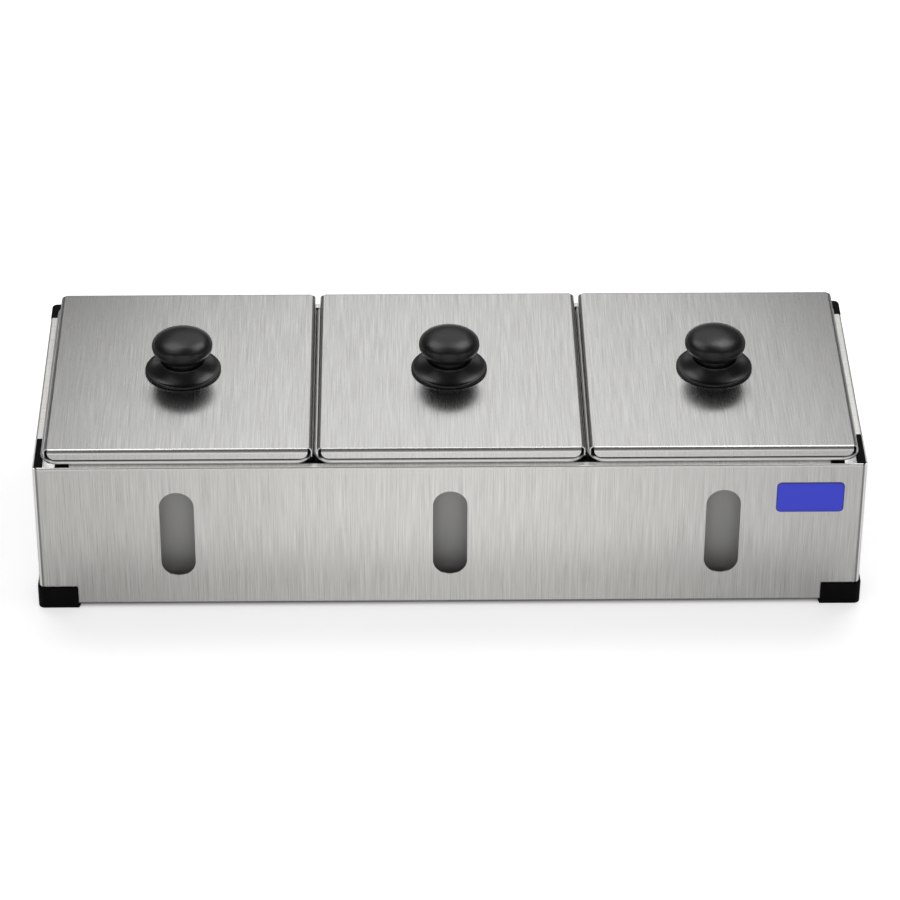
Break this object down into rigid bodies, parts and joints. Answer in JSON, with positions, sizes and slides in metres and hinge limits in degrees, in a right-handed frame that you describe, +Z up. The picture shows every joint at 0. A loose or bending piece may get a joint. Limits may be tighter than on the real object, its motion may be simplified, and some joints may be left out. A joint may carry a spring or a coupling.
{
  "type": "condiment caddy",
  "caption": "Counter-top condiment caddy: folded steel rack on plastic feet, with lift-out rimmed pans in a row, each under a loose folded lid with a moulded knob.",
  "frame": {"origin": "centre of the footprint, on the surface that the caddy stands on", "axes": "-Y is the front with the windows, +X is to the right seen from the front, +Z is up"},
  "size_m": [0.498, 0.1852, 0.1365],
  "materials": {
    "brushed_steel_sheet": "brushed, grain along the depth on the lids and upright on the panels",
    "steel_fastener": "bright zinc",
    "black_plastic": "matt moulded",
    "brass_insert": "machined"
  },
  "bodies": {
    "rack": {"front_panel": "brushed_steel_sheet", "back_panel": "brushed_steel_sheet", "left_side_panel": "brushed_steel_sheet", "right_side_panel": "brushed_steel_sheet", "foot_front_left": "black_plastic", "foot_front_right": "black_plastic", "foot_back_left": "black_plastic", "foot_back_right": "black_plastic", "corner_front_left": "black_plastic", "corner_front_right": "black_plastic", "corner_back_left": "black_plastic", "corner_back_right": "black_plastic"},
    "left_pan": {"pan_left": "brushed_steel_sheet"},
    "middle_pan": {"pan_middle": "brushed_steel_sheet"},
    "right_pan": {"pan_right": "brushed_steel_sheet"},
    "left_lid": {"lid_left": "brushed_steel_sheet", "knob_base_left": "black_plastic", "knob_cap_left": "black_plastic", "knob_insert_left": "brass_insert", "knob_screw_left": "steel_fastener", "knob_washer_left": "steel_fastener"},
    "middle_lid": {"lid_middle": "brushed_steel_sheet", "knob_base_middle": "black_plastic", "knob_cap_middle": "black_plastic", "knob_insert_middle": "brass_insert", "knob_screw_middle": "steel_fastener", "knob_washer_middle": "steel_fastener"},
    "right_lid": {"lid_right": "brushed_steel_sheet", "knob_base_right": "black_plastic", "knob_cap_right": "black_plastic", "knob_insert_right": "brass_insert", "knob_screw_right": "steel_fastener", "knob_washer_right": "steel_fastener"}
  },
  "joints": [
    {"name": "left_pan_lift", "type": "slide", "parent": "rack", "child": "left_pan", "axis": [0, 0, 1], "range_m": [0, 0.11]},
    {"name": "middle_pan_lift", "type": "slide", "parent": "rack", "child": "middle_pan", "axis": [0, 0, 1], "range_m": [0, 0.11]},
    {"name": "right_pan_lift", "type": "slide", "parent": "rack", "child": "right_pan", "axis": [0, 0, 1], "range_m": [0, 0.11]},
    {"name": "left_lid_lift", "type": "slide", "parent": "left_pan", "child": "left_lid", "axis": [0, 0, 1], "range_m": [0, 0.06]},
    {"name": "middle_lid_lift", "type": "slide", "parent": "middle_pan", "child": "middle_lid", "axis": [0, 0, 1], "range_m": [0, 0.06]},
    {"name": "right_lid_lift", "type": "slide", "parent": "right_pan", "child": "right_lid", "axis": [0, 0, 1], "range_m": [0, 0.06]}
  ]
}
